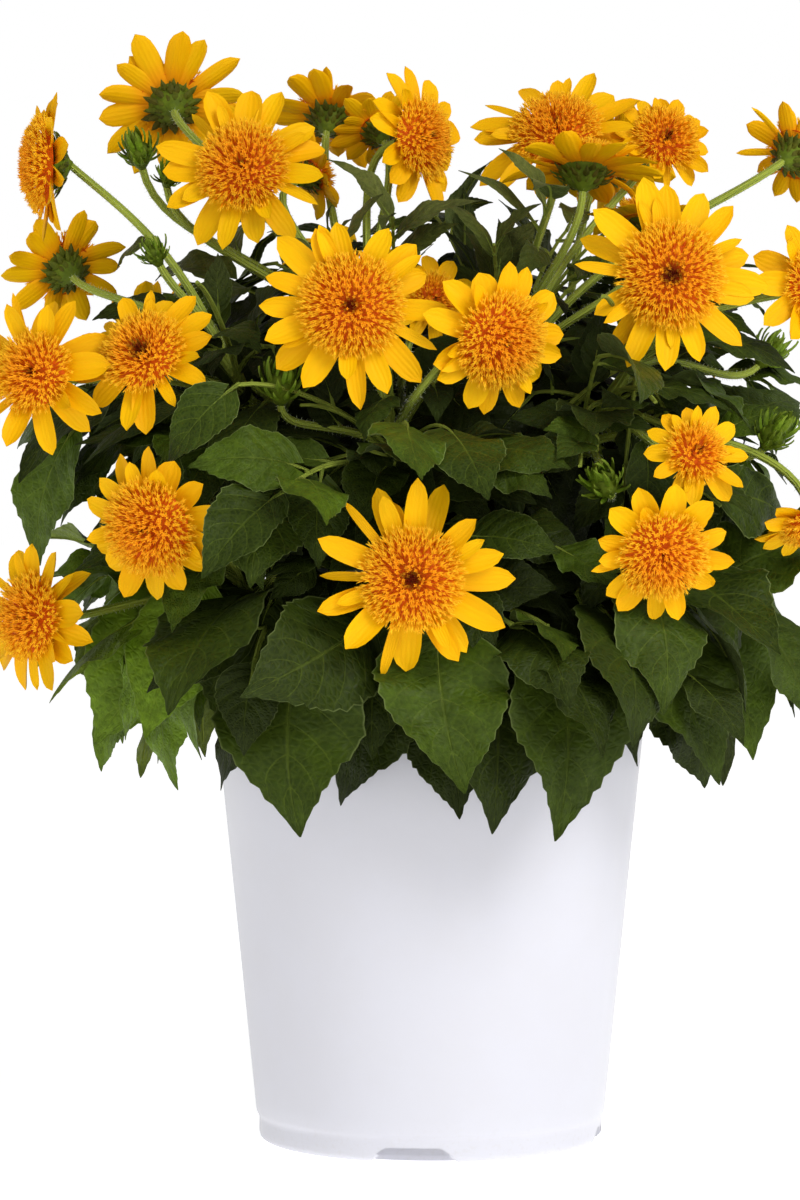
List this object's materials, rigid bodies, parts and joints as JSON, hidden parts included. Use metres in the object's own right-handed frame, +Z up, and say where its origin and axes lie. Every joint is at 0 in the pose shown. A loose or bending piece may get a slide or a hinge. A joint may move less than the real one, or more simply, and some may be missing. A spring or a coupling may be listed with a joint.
{
  "type": "potted sunflower plant",
  "caption": "Bushy double-flowered sunflower plant in bloom, with long-stalked yellow heads over broad dark green leaves, in a plain white tapered nursery pot.",
  "frame": {"origin": "centre of the pot's flat underside", "axes": "+Z up along the pot's axis, -Y towards the side that the picture shows, +X to that view's right"},
  "size_m": [0.4924, 0.4493, 0.6231],
  "materials": {
    "pot_plastic": "smooth white plastic with a soft sheen",
    "potting_mix": "dark moist crumbly bark and peat mix",
    "green_stem": "pale green, hairy and slightly ribbed",
    "foliage": "dark green leaves, slightly rough, with paler veins",
    "bloom": "soft golden yellow rays round an orange disc of small florets"
  },
  "bodies": {
    "root": {"pot": "pot_plastic", "potting_soil": "potting_mix", "main_stem": "green_stem", "bough_low_front": "green_stem", "bough_low_front_right": "green_stem", "bough_low_back_right": "green_stem", "bough_low_back": "green_stem", "bough_low_back_left": "green_stem", "bough_low_front_left": "green_stem", "bough_mid_front": "green_stem", "bough_mid_right": "green_stem", "bough_mid_back_right": "green_stem", "bough_mid_back_left": "green_stem", "bough_mid_left": "green_stem", "bough_top_right": "green_stem", "bloom_low_centre": "bloom", "bloom_low_left": "bloom", "bloom_far_low_left": "bloom", "bloom_low_right": "bloom", "bloom_small_right": "bloom", "bloom_edge_low_right": "bloom", "bloom_left": "bloom", "bloom_inner_left": "bloom", "bloom_centre": "bloom", "bloom_inner_right": "bloom", "bloom_behind_centre": "bloom", "bloom_right": "bloom", "bloom_edge_right": "bloom", "bloom_upper_left": "bloom", "bloom_side_left": "bloom", "bloom_far_left": "bloom", "bloom_top_far_left": "bloom", "bloom_top_back": "bloom", "bloom_small_top": "bloom", "bloom_top_centre": "bloom", "bloom_small_behind_left": "bloom", "bloom_top_right": "bloom", "bloom_flat_right": "bloom", "bloom_small_top_right": "bloom", "bloom_flat_behind_right": "bloom", "bloom_edge_top_right": "bloom", "bloom_back_high": "bloom", "bloom_back_right": "bloom", "bloom_back_left": "bloom", "bloom_back_centre": "bloom", "bloom_back_low": "bloom", "foliage_low_front": "foliage", "foliage_low_front_right": "foliage", "foliage_low_back_right": "foliage", "foliage_low_back": "foliage", "foliage_low_back_left": "foliage", "foliage_low_front_left": "foliage", "foliage_mid_front": "foliage", "foliage_mid_right": "foliage", "foliage_mid_back_right": "foliage", "foliage_mid_back_left": "foliage", "foliage_mid_left": "foliage", "foliage_top_right": "foliage", "foliage_top_left": "foliage"}
  },
  "joints": []
}
